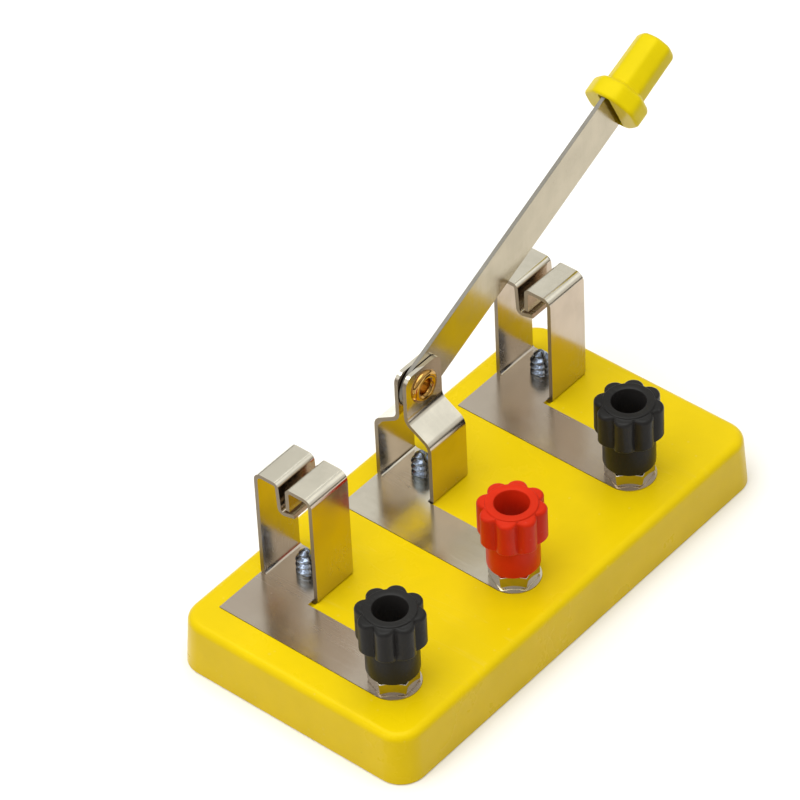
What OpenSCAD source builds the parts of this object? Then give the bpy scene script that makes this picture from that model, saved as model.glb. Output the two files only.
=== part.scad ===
// Bench knife switch, single pole and double throw: a hinged blade swings
// between two sprung jaw clips on a moulded base, with three binding posts.
// Frame: origin at the middle of the base's underside, +X from the left clip to
// the right clip, +Y from the binding posts to the clips, +Z up. Millimetres.
// Each station (left, middle, right) is a binding post and the sheet metal that
// it feeds. A station's own frame has its origin on the post's axis, level with
// the top of the sheet metal.

/* [Base] */
// Length of the base
base_l = 100; // [98:1:120]
// Depth of the base
base_w = 52.5; // [51:0.5:70]
// Height of the base
base_h = 11; // [10.5:0.5:14]
// Radius of the base's upright corners
base_corner = 5; // [3:0.5:8]
// Radius of the rounding round the base's top edge
base_fillet = 1.6; // [0.8:0.2:2.4]
// How far each side leans in from bottom to top
base_draft = 0.5; // [0:0.1:1]
// Thickness of the base's side walls
base_wall = 2.4; // [1.8:0.2:3]
// Thickness of the base's top
base_top = 3.2; // [2.6:0.2:4]
// Width of the rib under the middle of the base
rib_w = 2; // [1.5:0.5:3]

/* [Stations] */
// Distance from one binding post to the next
pitch = 32.8; // [30:0.2:36]
// X of the middle binding post
post_x = -5.5; // [-8:0.5:-3]
// Y of the binding posts
post_y = -14.5; // [-16:0.5:-13]
// Distance from the posts to the plane in which the blade swings
blade_y = 29; // [28:0.5:31]

/* [Sheet metal] */
// Thickness of the plated sheet and of the blade
sheet = 0.8; // [0.6:0.1:1]
// How far the sheet stands above the base
proud = 0.15; // [0:0.05:0.3]
// Width of the tab under each post
tab_w = 9.8; // [9.4:0.2:11]
// Width of the upright walls
wall_w = 9.6; // [8:0.2:11]
// Distance over the outer faces of the two upright walls
wall_span = 13.1; // [12:0.1:15]
// Distance from a post to the middle of its clip, along X
clip_x = 11; // [10.5:0.5:12]
// Distance from the middle post to the pivot, along X
pivot_x = 9.9; // [9.5:0.1:11]
// Height of a clip above its plate
clip_h = 24; // [22:0.5:26]
// Inner radius of the clip's shoulders
shoulder_r = 1; // [0.6:0.1:1.6]
// Inner radius of the tight bends at the jaw and at the foot
bend_r = 0.4; // [0.3:0.1:0.6]
// Gap of the jaw where the blade passes between its lips
jaw_gap = 1.1; // [1.1:0.05:1.4]
// Length of the front lip below the clip's top
front_lip = 5.1; // [4:0.1:6]
// Length of the rear lip below the clip's top, down to its curl
rear_lip = 6.9; // [6.6:0.1:7.4]
// Lean of the rear lip towards the front one
lip_lean = 3.5; // [0:0.5:5]
// Outer radius of the curl under the rear lip
curl_r = 1.3; // [1:0.1:1.6]

/* [Pivot bracket] */
// Height of the pivot above the plate
pivot_h = 21.9; // [21.4:0.1:23]
// Height of the bracket's ears above the plate
ear_h = 26.4; // [26.3:0.1:28]
// Height at which the bracket's walls start to lean in
joggle_h = 12.5; // [11:0.1:13]
// Radius of the ears' top corners
ear_corner = 2; // [1:0.5:3]
// Side clearance between the blade and each ear
ear_gap = 0.15; // [0.1:0.05:0.2]
// Outer diameter of the hollow rivet's barrel
rivet_d = 4.2; // [3.6:0.1:4.6]
// Bore of the hollow rivet
rivet_bore = 3; // [2:0.1:3.2]
// Diameter over the rivet's rolled rims
rim_d = 6.5; // [5.6:0.1:6.6]

/* [Blade and handle] */
// Width of the blade
blade_w = 9.4; // [8.6:0.1:9.5]
// Angle of the blade above the base, as it stands
lever_angle = 25; // [0:0.1:150]
// Distance from the pivot to the handle
handle_at = 61; // [56:0.5:66]
// Size across flats of the handle's collar
collar_af = 11; // [10.6:0.1:11.6]
// Thickness of the handle's collar
collar_t = 4.2; // [3:0.1:4.5]
// Size across flats of the handle's grip
grip_af = 7.6; // [7:0.1:8.2]
// Whole length of the handle
handle_l = 15.3; // [14:0.1:18]
// Rounding of the handle's end
grip_round = 1.3; // [0.8:0.1:2]
// Width of the blade's narrow end inside the grip
tang_w = 4.8; // [4:0.1:5.2]
// Length of the blade's narrow end
tang_l = 8; // [6:0.5:9]
// Width of the socket at the collar's face
socket_w = 9.8; // [9.6:0.1:9.9]
// Opening of the socket across the blade
socket_t = 2.6; // [2:0.1:3.2]
// Depth of the socket
socket_deep = 2; // [1.5:0.1:2.6]

/* [Binding posts] */
// Diameter of the studs
stud_d = 5; // [4.6:0.1:5]
// Size across flats of the nuts
nut_af = 8; // [7.5:0.1:8.2]
// Height of the nuts
nut_h = 3; // [2.4:0.1:3.2]
// Diameter of the washers under the base
washer_d = 10; // [9:0.5:11]
// Thickness of those washers
washer_t = 1; // [0.8:0.1:1.2]
// Height of a knob
knob_h = 13.9; // [13:0.1:15]
// Diameter of a knob's smooth skirt
skirt_d = 9.6; // [9.2:0.1:10]
// Height of a knob's smooth skirt
skirt_h = 6; // [5:0.1:7]
// Number of lobes round a knob
lobes = 8; // [6:1:10]
// Radius of one lobe
lobe_r = 2; // [1.6:0.1:2.2]
// Diameter over a knob's lobes
knob_d = 12.6; // [12:0.1:13]
// Diameter of the groove bottoms between the lobes
groove_d = 10.6; // [10:0.1:10.8]
// Diameter of the socket in a knob's top
plug_d = 6.2; // [5:0.1:6.4]
// Outer diameter of the threaded insert moulded into a knob
insert_d = 7; // [6.8:0.1:7.2]
// Height of the threaded insert
insert_h = 5.3; // [4.6:0.1:5.4]
// Gap between a closed knob and the nut below it
knob_gap = 0.3; // [0.2:0.05:0.5]

/* [Plate screws] */
// Diameter of the screws over their thread
screw_d = 3.9; // [3.5:0.1:4.2]
// Diameter at the bottom of the thread
screw_root_d = 2.9; // [2.6:0.1:3.1]
// Pitch of the screw thread
screw_pitch = 1.3; // [1.2:0.1:1.5]
// Length of the screws under the head
screw_l = 13; // [11:0.5:13]
// Height of the screw tips above the plates
screw_out = 5; // [4.5:0.1:6]
// Diameter of the screw heads
head_d = 6.9; // [6.2:0.1:7.2]
// Height of the screw heads
head_h = 2; // [1.6:0.1:2]

/* [Hidden] */

LEFT = -1;
MIDDLE = 0;
RIGHT = 1;
STATIONS = [LEFT, MIDDLE, RIGHT];
$fn = 48;
eps = 0.01;
bend_n = 8;          // straight stretches that make up one bend of the sheet
fit = 0.05;          // running clearance on a radius
slack = 0.15;        // gap round the plates in their recesses
plate_z = base_h + proud;
wall_in = wall_span / 2 - sheet;
ear_in = sheet / 2 + ear_gap;
foot_r = 0.6;        // inner radius where the walls rise from the plate
relief_l = 1.2;      // depth of the notch beside the front wall's bend
screw_off = 0.4;     // screws stand this far right of and behind the floor's middle
rim_t = 0.75;
knob_z = nut_h + knob_gap;
insert_z = 0.5;
stud_top = knob_z + insert_z + insert_h - 0.3;
boss_d = 12;
boss_z = 6;          // underside of the bosses that carry the studs
stud_end = boss_z - washer_t - nut_h - 0.8;
screw_boss_d = 8;
screw_seat = plate_z + screw_out - screw_l;
screw_hole_d = 3.3;  // pilot hole that the thread bites into
screw_tip = 2.2;     // length of the tapered point
knob_turn = 27;      // direction of the first lobe

function station_x(k) = post_x + k * pitch;
function screw_at(k) = [(k == MIDDLE ? pivot_x : clip_x) + screw_off, blade_y + screw_off];
function polar(r, a) = [r * cos(a), r * sin(a)];
function corner_r(af, n) = af / 2 / cos(180 / n);

// Points of a bent strip's side, off to the left of the line that starts at p
// with heading a. In a bend the line turns about a centre at the step's radius
function strip_side(steps, off, i = 0, p = [0, 0], a = 0) =
    i == len(steps) ? [] :
    let (
        turn = steps[i][1],
        swing = turn < 0 ? -steps[i][2] : steps[i][2],
        bend_at = p + polar(steps[i][0], a),
        centre = bend_at + polar(swing, a + 90),
        n = turn == 0 ? 0 : bend_n,
        arc = [for (j = [0 : n])
            let (b = a + turn * j / max(n, 1)) centre + polar(off - swing, b + 90)],
        end = centre - polar(swing, a + turn + 90)
    )
    concat(i == 0 ? [p + polar(off, a + 90)] : [], arc,
        strip_side(steps, off, i + 1, end, a + turn));

// Puts its children in the frame of station k
module at_station(k) {
    translate([station_x(k), post_y, plate_z]) children();
}

// Puts its children on the pivot, with +X along the blade
module at_pivot() {
    translate([station_x(MIDDLE) + pivot_x, post_y + blade_y, plate_z + pivot_h])
        rotate([0, -lever_angle, 0]) children();
}

// Stands a section drawn with X as the depth and Y as the height on the plate,
// and gives it the width w along X
module upright(w) {
    rotate([90, 0, 90]) translate([0, 0, -w / 2]) linear_extrude(w) children();
}

// A bent strip seen from its edge. Each step is [straight length, angle turned,
// radius], and the sheet lies to the right of the line that the steps follow
module strip(steps) {
    near = strip_side(steps, 0);
    far = strip_side(steps, -sheet);
    polygon(concat(near, [for (i = [len(far) - 1 : -1 : 0]) far[i]]));
}

// Cylinder with its top edge rounded
module round_rod(r, h, f) {
    rotate_extrude() {
        square([r - f, h]);
        square([r, h - f]);
        translate([r - f, h - f]) circle(f, $fn = 32);
    }
}

// Eight-sided rod, given by its size across flats, with its top end rounded
module octagon_rod(af, h, f) {
    r = corner_r(af, 8);
    intersection() {
        rotate(22.5) cylinder(r = r, h = h, $fn = 8);
        round_rod(r + 0.1, h, f);
    }
}

// Flat plate that joins a post's tab to the foot of the upright walls. edge is
// the X of the walls' near side
module plate_blank(edge) {
    back = blade_y + wall_span / 2;
    front = blade_y - wall_span / 2;
    translate([0, 0, -sheet]) linear_extrude(sheet) {
        circle(d = tab_w);
        translate([-tab_w / 2, 0]) square([tab_w, back]);
        translate([0, front + relief_l]) square([edge, back - front - relief_l]);
    }
}

// Holes for the post's stud and the plate screw
module plate_holes(k) {
    translate([0, 0, -2 * sheet]) cylinder(d = stud_d + 2 * fit, h = 3 * sheet);
    translate([screw_at(k)[0], screw_at(k)[1], -2 * sheet])
        cylinder(d = screw_hole_d, h = 3 * sheet);
}

// Outline of a station's recess in the base, grown by the slack
module plate_recess(k) {
    front = blade_y - wall_span / 2 - slack;
    back = blade_y + wall_span / 2 + slack;
    far = (k == MIDDLE ? pivot_x : clip_x) + wall_w / 2 + slack;
    translate([0, 0, -sheet]) linear_extrude(2 * sheet) {
        circle(d = tab_w + 2 * slack);
        translate([-tab_w / 2 - slack, 0]) square([tab_w + 2 * slack, back]);
        translate([0, front]) square([far, back - front]);
    }
}

// The base's solid outside shape
module base_block() {
    half_l = base_l / 2 - base_corner;
    half_w = base_w / 2 - base_corner;
    ball = base_fillet;
    hull() {
        for (sx = [-1, 1], sy = [-1, 1]) {
            translate([sx * half_l, sy * half_w, 0])
                cylinder(r = base_corner, h = eps, $fn = 32);
            translate([sx * (half_l - base_draft), sy * (half_w - base_draft), base_h - ball])
                rotate_extrude($fn = 32) translate([base_corner - ball, 0]) circle(ball, $fn = 32);
        }
    }
}

// Hollow moulded base with bosses under each station
module base() {
    in_l = base_l - 2 * base_wall;
    in_w = base_w - 2 * base_wall;
    in_r = base_corner - base_wall;
    ceiling = base_h - base_top;
    color("gold") difference() {
        base_block();
        difference() {
            translate([0, 0, -eps]) linear_extrude(ceiling + eps) {
                square([in_l - 2 * in_r, in_w], center = true);
                square([in_l, in_w - 2 * in_r], center = true);
                for (sx = [-1, 1], sy = [-1, 1])
                    translate([sx * (in_l / 2 - in_r), sy * (in_w / 2 - in_r)]) circle(in_r);
            }
            translate([-base_l / 2, -rib_w / 2, -1]) cube([base_l, rib_w, base_h]);
            for (k = STATIONS) {
                translate([station_x(k), post_y, boss_z]) cylinder(d = boss_d, h = base_h);
                translate([station_x(k) + screw_at(k)[0], post_y + screw_at(k)[1], screw_seat])
                    cylinder(d = screw_boss_d, h = base_h);
            }
        }
        for (k = STATIONS) {
            at_station(k) {
                plate_recess(k);
                translate([0, 0, -base_h]) cylinder(d = stud_d + 2 * slack, h = base_h + 1);
                translate([screw_at(k)[0], screw_at(k)[1], -base_h - 1])
                    cylinder(d = screw_d + 2 * slack, h = base_h + 1);
            }
        }
    }
}

// Sprung jaw clip: the strip runs from the front lip, over the front wall, under
// the plate and over the rear wall to the rear lip and its curl
module clip(k) {
    top = clip_h - sheet;
    lip_y = jaw_gap / 2 + sheet;
    lean_y = (rear_lip - curl_r) * sin(lip_lean);
    front = [
        [front_lip - sheet - bend_r, 90, bend_r],
        [wall_in - shoulder_r - lip_y - bend_r, 90, shoulder_r],
        [top - shoulder_r - foot_r, 90, foot_r]
    ];
    rear = [
        [2 * (wall_in - foot_r), 90, foot_r],
        [top - shoulder_r - foot_r, 90, shoulder_r],
        [wall_in - shoulder_r - lip_y - bend_r - lean_y, 90 - lip_lean, bend_r],
        [rear_lip - sheet - bend_r - curl_r, lip_lean - 105, curl_r],
        [2.3, 0, 0]
    ];
    color("silver") at_station(k) difference() {
        union() {
            translate([clip_x, blade_y, 0]) upright(wall_w)
                translate([-lip_y, clip_h - front_lip]) rotate(90) strip(concat(front, rear));
            plate_blank(clip_x - wall_w / 2);
        }
        plate_holes(k);
    }
}

// Pivot bracket: the same plate with walls that lean in to two close ears
module pivot_bracket() {
    lean = 58;           // how far the slants turn in from the upright
    bend = 1.8;          // inner radius of the slanted bends
    in_y = wall_in - ear_in;
    tuck = bend * tan(lean / 2);
    tuck_out = (bend + sheet) * tan(lean / 2);
    low_knee = joggle_h + sheet * tan(lean / 2);
    high_knee = low_knee + in_y / tan(lean);
    ear = ear_h - high_knee - tuck_out;
    slant = in_y / sin(lean) - tuck - tuck_out;
    wall = low_knee - tuck - foot_r;
    steps = [
        [ear, -lean, bend + sheet],
        [slant, lean, bend],
        [wall, 90, foot_r],
        [2 * (wall_in - foot_r), 90, foot_r],
        [wall, lean, bend],
        [slant, -lean, bend + sheet],
        [ear, 0, 0]
    ];
    color("silver") at_station(MIDDLE) difference() {
        union() {
            translate([pivot_x, blade_y, 0]) upright(wall_w)
                translate([-ear_in, ear_h]) rotate(-90) strip(steps);
            plate_blank(pivot_x - wall_w / 2);
        }
        plate_holes(MIDDLE);
        translate([pivot_x, blade_y + wall_span / 2, 0]) rotate([90, 0, 0]) {
            translate([0, pivot_h, 0]) cylinder(d = rivet_d, h = wall_span);
            for (s = [0, 1])
                mirror([s, 0, 0]) linear_extrude(wall_span) ear_corner_cut();
        }
    }
}

// Waste cut off an ear's top right corner to leave it round
module ear_corner_cut() {
    translate([wall_w / 2 - ear_corner, ear_h - ear_corner]) difference() {
        square(ear_corner + 1);
        circle(ear_corner);
    }
}

// Hollow rivet with a rolled rim at each end, which the blade turns on
module pivot_rivet() {
    half = ear_in + sheet;
    color("darkgoldenrod") at_pivot() rotate([90, 0, 0]) {
        difference() {
            translate([0, 0, -half - eps]) cylinder(d = rivet_d, h = 2 * half + 2 * eps);
            translate([0, 0, -half - 1]) cylinder(d = rivet_bore, h = 2 * half + 2);
        }
        for (s = [-1, 1])
            mirror([0, 0, s < 0 ? 1 : 0]) translate([0, 0, half]) rotate_extrude()
                intersection() {
                    translate([(rim_d + rivet_bore) / 4, 0]) circle((rim_d - rivet_bore) / 4);
                    square([rim_d, rim_t]);
                }
    }
}

// Flat blade: round at the pivot, with a narrow tang inside the handle
module blade() {
    full = handle_at + socket_deep;
    color("silver") at_pivot() rotate([90, 0, 0]) translate([0, 0, -sheet / 2]) difference() {
        linear_extrude(sheet) {
            circle(d = blade_w);
            translate([0, -blade_w / 2]) square([full, blade_w]);
            translate([full - eps, -tang_w / 2]) square([tang_l + eps, tang_w]);
        }
        translate([0, 0, -1]) cylinder(d = rivet_d + 2 * fit, h = sheet + 2);
    }
}

// Eight-sided handle with a collar, open at its face for the blade
module handle() {
    color("gold") at_pivot() translate([handle_at, 0, 0]) rotate([0, 90, 0]) difference() {
        union() {
            octagon_rod(collar_af, collar_t, 1);
            octagon_rod(grip_af, handle_l, grip_round);
        }
        translate([-socket_w / 2, -socket_t / 2, -1]) cube([socket_w, socket_t, socket_deep + 1]);
        translate([-tang_w / 2, -sheet / 2, 0]) cube([tang_w, sheet, socket_deep + tang_l]);
    }
}

// Plate screw, driven up from below: pan head, ringed thread and blunt point
module plate_screw(k) {
    root = screw_root_d / 2;
    crest = screw_d / 2;
    shank = screw_l - screw_tip;
    start = 0.6;         // plain neck under the first ring
    flank = 0.35 * screw_pitch;
    turns = floor((shank - start) / screw_pitch);
    color("lightsteelblue")
        translate([station_x(k) + screw_at(k)[0], post_y + screw_at(k)[1], screw_seat]) {
            mirror([0, 0, 1]) round_rod(head_d / 2, head_h, 0.9);
            cylinder(r = root, h = shank);
            translate([0, 0, shank]) cylinder(r1 = root, r2 = 0.5, h = screw_tip);
            for (i = [0 : turns - 1])
                translate([0, 0, start + i * screw_pitch]) rotate_extrude()
                    polygon([[0, 0], [root - eps, 0], [crest, flank], [crest, flank + 0.15],
                        [root - eps, 2 * flank + 0.15], [0, 2 * flank + 0.15]]);
        }
}

// Threaded stud through the base, bevelled at both ends
module stud(k) {
    r = stud_d / 2;
    bottom = stud_end - plate_z;
    bevel = 0.4;
    color("silver") at_station(k) rotate_extrude()
        polygon([[0, bottom], [r - bevel, bottom], [r, bottom + bevel],
            [r, stud_top - bevel], [r - bevel, stud_top], [0, stud_top]]);
}

// Hexagon nut standing on z = 0, with its corners turned off at both faces
module hex_nut() {
    r = corner_r(nut_af, 6);
    cut = r - nut_af / 2;
    difference() {
        intersection() {
            rotate(8) cylinder(r = r, h = nut_h, $fn = 6);
            rotate_extrude() polygon([[0, 0], [r - cut, 0], [r, cut * 0.6],
                [r, nut_h - cut * 0.6], [r - cut, nut_h], [0, nut_h]]);
        }
        translate([0, 0, -1]) cylinder(r = stud_d / 2 + fit, h = nut_h + 2);
    }
}

module top_nut(k) {
    color("whitesmoke") at_station(k) hex_nut();
}

module bottom_nut(k) {
    color("whitesmoke") at_station(k)
        translate([0, 0, boss_z - washer_t - nut_h - plate_z]) hex_nut();
}

module washer(k) {
    color("whitesmoke") at_station(k) translate([0, 0, boss_z - washer_t - plate_z])
        difference() {
            cylinder(d = washer_d, h = washer_t);
            translate([0, 0, -1]) cylinder(d = stud_d + 2 * slack, h = washer_t + 2);
        }
}

// Threaded insert inside a knob, round so that it can turn with the knob
module insert(k) {
    color("goldenrod") at_station(k) translate([0, 0, knob_z + insert_z]) difference() {
        cylinder(d = insert_d, h = insert_h);
        translate([0, 0, -1]) cylinder(r = stud_d / 2 + fit, h = insert_h + 2);
    }
}

// Lobed knob: a smooth skirt below, convex lobes above, and a socket in the top
module knob(k) {
    rise = 0.3;          // height of the flat ring round the socket
    top = knob_h - rise;
    far = knob_d / 2 + eps;
    pocket = insert_d / 2 + fit;
    pocket_h = insert_h + 2 * fit;
    shades = ["dimgray", "red", "dimgray"];
    color(shades[k + 1]) at_station(k) translate([0, 0, knob_z]) difference() {
        union() {
            cylinder(d = skirt_d, h = knob_h - eps);
            intersection() {
                translate([0, 0, skirt_h]) linear_extrude(top - skirt_h) {
                    circle(d = groove_d);
                    for (i = [0 : lobes - 1])
                        rotate(knob_turn + i * 360 / lobes)
                            translate([knob_d / 2 - lobe_r, 0]) circle(lobe_r);
                }
                rotate_extrude() polygon([[0, skirt_h], [skirt_d / 2, skirt_h],
                    [far, skirt_h + 0.9], [far, top - 0.5], [far - 0.5, top], [0, top]]);
            }
            round_rod(skirt_d / 2, knob_h, 0.2);
        }
        translate([0, 0, insert_z + insert_h]) cylinder(d = plug_d, h = knob_h);
        translate([0, 0, knob_h - 0.3]) cylinder(r1 = plug_d / 2, r2 = plug_d / 2 + 0.4, h = 0.4);
        translate([0, 0, insert_z - fit]) cylinder(r = pocket, h = pocket_h);
        translate([0, 0, -1]) cylinder(d = stud_d + 4 * slack, h = knob_h / 2);
    }
}

base();
clip(LEFT);  // left_clip
clip(RIGHT);  // right_clip
pivot_bracket();
pivot_rivet();
blade();
handle();
plate_screw(LEFT);  // left_screw
plate_screw(MIDDLE);  // middle_screw
plate_screw(RIGHT);  // right_screw
stud(LEFT);  // left_stud
stud(MIDDLE);  // middle_stud
stud(RIGHT);  // right_stud
top_nut(LEFT);  // left_top_nut
top_nut(MIDDLE);  // middle_top_nut
top_nut(RIGHT);  // right_top_nut
washer(LEFT);  // left_washer
washer(MIDDLE);  // middle_washer
washer(RIGHT);  // right_washer
bottom_nut(LEFT);  // left_bottom_nut
bottom_nut(MIDDLE);  // middle_bottom_nut
bottom_nut(RIGHT);  // right_bottom_nut
insert(LEFT);  // left_insert
insert(MIDDLE);  // middle_insert
insert(RIGHT);  // right_insert
knob(LEFT);  // left_knob
knob(MIDDLE);  // middle_knob
knob(RIGHT);  // right_knob
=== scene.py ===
"""Bench knife switch: single pole, double throw, on a moulded base.

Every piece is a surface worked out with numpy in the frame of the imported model,
in metres: +X from the left clip to the right clip, +Y from the binding posts to
the clips, +Z up, with the origin in the middle of the base's underside.
"""
import math

import bmesh
import bpy
import numpy as np
from bpy.props import FloatProperty, FloatVectorProperty, IntProperty, PointerProperty
from mathutils import Matrix, Vector


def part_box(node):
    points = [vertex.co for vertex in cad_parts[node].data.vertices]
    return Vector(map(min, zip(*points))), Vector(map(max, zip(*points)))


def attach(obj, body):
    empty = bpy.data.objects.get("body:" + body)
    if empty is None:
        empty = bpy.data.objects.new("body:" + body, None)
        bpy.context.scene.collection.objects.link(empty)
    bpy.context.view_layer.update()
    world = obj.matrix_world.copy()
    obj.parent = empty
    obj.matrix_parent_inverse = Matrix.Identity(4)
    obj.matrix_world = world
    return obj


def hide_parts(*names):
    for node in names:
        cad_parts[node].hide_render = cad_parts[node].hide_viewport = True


bl_info = {
    "name": "Bench knife switch",
    "version": (1, 0, 0),
    "blender": (4, 5, 0),
    "location": "View3D > Sidebar > Knife switch",
    "description": "Builds a bench knife switch piece by piece on its packed frame",
    "category": "Add Mesh",
}

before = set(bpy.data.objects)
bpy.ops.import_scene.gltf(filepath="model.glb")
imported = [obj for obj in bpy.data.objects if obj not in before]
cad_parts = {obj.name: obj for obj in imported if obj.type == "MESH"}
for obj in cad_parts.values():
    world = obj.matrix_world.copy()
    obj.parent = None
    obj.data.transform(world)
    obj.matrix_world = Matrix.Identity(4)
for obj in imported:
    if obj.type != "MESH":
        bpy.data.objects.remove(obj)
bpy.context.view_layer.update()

MM = 0.001
SIDES = ("left", "middle", "right")


def middle_of(node):
    """The middle of a frame node's box."""
    low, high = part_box(node)
    return (low + high) / 2


def post_at(side):
    """Where a binding post's axis meets the top of its plate."""
    axis = middle_of(side + "_stud")
    return np.array([axis.x, axis.y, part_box(side + "_top_nut")[0].z])


def pivot_at():
    """The point that the blade turns on."""
    centre = middle_of("pivot_rivet")
    return np.array([centre.x, centre.y, centre.z])


def reach_of(node, axis):
    """How long a node's box is along X, Y or Z."""
    low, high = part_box(node)
    return (high - low)[axis]


# ---------------------------------------------------------------- settings

def size_setting(name, text, default, precision=4):
    """A length that a user can change."""
    return FloatProperty(
        name=name, description=text, unit="LENGTH", default=default, precision=precision)


def colour_setting(name, text, default):
    """A colour that a user can change."""
    return FloatVectorProperty(
        name=name, description=text, subtype="COLOR", size=4, min=0, max=1, default=default)


class BaseSettings(bpy.types.PropertyGroup):
    """Sizes and colour of the moulded base."""

    length: size_setting("Length", "Length of the base", reach_of("base", 0))
    depth: size_setting("Depth", "Depth of the base", reach_of("base", 1))
    height: size_setting("Height", "Height of the base", reach_of("base", 2))
    corner: size_setting("Corner", "Radius of the upright corners", 5 * MM)
    fillet: size_setting("Fillet", "Rounding round the top edge", 1.6 * MM)
    draft: size_setting("Draft", "How far each side leans in towards the top", 0.5 * MM)
    wall: size_setting("Wall", "Thickness of the side walls", 2.4 * MM)
    top: size_setting("Top", "Thickness of the top", 3.2 * MM)
    colour: colour_setting("Colour", "Colour of the base's plastic", (0.79, 0.575, 0.002, 1))


class SheetSettings(bpy.types.PropertyGroup):
    """Sizes and colour of the bent sheet metal."""

    thickness: size_setting("Thickness", "Thickness of the plated sheet", 0.8 * MM)
    tab: size_setting("Tab", "Width of the tab under a post", 9.8 * MM)
    wall: size_setting("Wall", "Width of the upright walls", 9.6 * MM)
    span: size_setting("Span", "Distance over the walls' outer faces", 13.1 * MM)
    edge: size_setting("Edge rounding", "Rounding of the cut edges", 0.07 * MM, precision=5)
    colour: colour_setting("Colour", "Colour of the plating", (0.92, 0.89, 0.77, 1))


class LeverSettings(bpy.types.PropertyGroup):
    """Sizes and colours of the blade and its handle."""

    width: size_setting("Blade width", "Width of the blade", 9.4 * MM)
    angle: FloatProperty(
        name="Angle", description="Angle of the blade above the base",
        subtype="ANGLE", default=math.radians(25))
    handle_at: size_setting("Handle distance", "Distance from the pivot to the handle", 61 * MM)
    collar: size_setting("Collar", "Size across the collar's flats", 11 * MM)
    grip: size_setting("Grip", "Size across the grip's flats", 7.6 * MM)
    grip_length: size_setting("Handle length", "Whole length of the handle", 15.3 * MM)
    colour: colour_setting(
        "Handle colour", "Colour of the handle's plastic", (0.74, 0.585, 0.003, 1))
    rivet_colour: colour_setting(
        "Rivet colour", "Colour of the rivet's brass", (0.62, 0.36, 0.10, 1))


class PostSettings(bpy.types.PropertyGroup):
    """Sizes and colours of the binding posts."""

    stud: size_setting("Stud", "Diameter of the studs", 5 * MM)
    nut: size_setting("Nut", "Size across the nuts' flats", 8 * MM)
    skirt: size_setting("Skirt", "Diameter of a knob's smooth skirt", 9.6 * MM)
    lobes: IntProperty(
        name="Lobes", description="Number of lobes round a knob", default=8, min=3)
    over_lobes: size_setting("Over lobes", "Diameter over a knob's lobes", 12.6 * MM)
    socket: size_setting("Socket", "Diameter of the socket in a knob", 6.2 * MM)
    black: colour_setting(
        "Outer colour", "Colour of the two outer knobs", (0.019, 0.0185, 0.018, 1))
    red: colour_setting("Middle colour", "Colour of the middle knob", (0.66, 0.026, 0.006, 1))


class StageSettings(bpy.types.PropertyGroup):
    """Floor, lights and camera."""

    floor: colour_setting("Floor", "Colour of the floor", (0.95, 0.95, 0.95, 1))
    key: FloatProperty(
        name="Overhead light", description="Power of the main light", unit="POWER",
        default=13.0)
    around: FloatProperty(
        name="Surroundings", description="Brightness of the pale surroundings",
        default=0.68, min=0)
    lens: FloatProperty(
        name="Lens", description="Focal length in millimetres", default=236.9)


class SwitchSettings(bpy.types.PropertyGroup):
    """Everything that a user would change."""

    base: PointerProperty(type=BaseSettings)
    sheet: PointerProperty(type=SheetSettings)
    lever: PointerProperty(type=LeverSettings)
    post: PointerProperty(type=PostSettings)
    stage: PointerProperty(type=StageSettings)


# ---------------------------------------------------------------- surfaces

def whole_turn(count, start=0.0):
    """Evenly spaced directions round a full turn, in radians."""
    return start + np.linspace(0, 2 * np.pi, count, endpoint=False)


def arc(centre, radius, start, end, count=9):
    """Points on a circle about centre, from one direction to another, in degrees."""
    turn = np.radians(np.linspace(start, end, count))
    return np.array(centre) + radius * np.stack([np.cos(turn), np.sin(turn)], 1)


def chain(*runs):
    """Single points and runs of points, one after another."""
    return np.concatenate([np.atleast_2d(np.array(run, float)) for run in runs])


def stretch(line, step):
    """A line of points with more points put in, none further than step apart."""
    gaps = np.linalg.norm(np.diff(line, axis=0), axis=1)
    along = np.concatenate([[0], np.cumsum(gaps)])
    parts = np.maximum(np.ceil(gaps / step), 1).astype(int)
    marks = [np.linspace(a, b, n, endpoint=False)
             for a, b, n in zip(along[:-1], along[1:], parts)]
    marks = np.concatenate(marks + [along[-1:]])
    return np.stack([np.interp(marks, along, line[:, k]) for k in range(line.shape[1])], 1)


def turned(profile, directions):
    """Surface of revolution: a point (r, z) of the profile and a direction f give
    (r cos f, r sin f, z)."""
    radius, height = profile[:, :1], profile[:, 1:]
    return np.stack(np.broadcast_arrays(
        radius * np.cos(directions), radius * np.sin(directions), height), -1)


def close_up(mesh):
    """Merges points that coincide and turns every face outwards."""
    work = bmesh.new()
    work.from_mesh(mesh)
    bmesh.ops.remove_doubles(work, verts=work.verts, dist=1e-7)
    bmesh.ops.dissolve_degenerate(work, edges=work.edges, dist=1e-8)
    bmesh.ops.recalc_face_normals(work, faces=work.faces)
    work.to_mesh(mesh)
    work.free()
    return mesh


def skin(points, ring=False):
    """Mesh over a grid of points. Point (i, j) is joined to (i + 1, j) and to
    (i, j + 1). Each row closes on itself, and with ring so does each column. A row
    that has shrunk to one point becomes a pole."""
    rows, columns = points.shape[:2]
    index = np.arange(rows * columns).reshape(rows, columns)
    near = index if ring else index[:-1]
    far = np.roll(index, -1, 0) if ring else index[1:]
    quads = np.stack([near, np.roll(near, -1, 1), np.roll(far, -1, 1), far], -1)
    quads = quads.reshape(-1, 4)
    mesh = bpy.data.meshes.new("skin")
    mesh.vertices.add(rows * columns)
    mesh.vertices.foreach_set("co", points.reshape(-1).astype(np.float32))
    mesh.loops.add(quads.size)
    mesh.loops.foreach_set("vertex_index", quads.reshape(-1).astype(np.int32))
    mesh.polygons.add(len(quads))
    mesh.polygons.foreach_set("loop_start", np.arange(0, quads.size, 4, dtype=np.int32))
    mesh.update(calc_edges=True)
    mesh.validate()
    return close_up(mesh)


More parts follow.
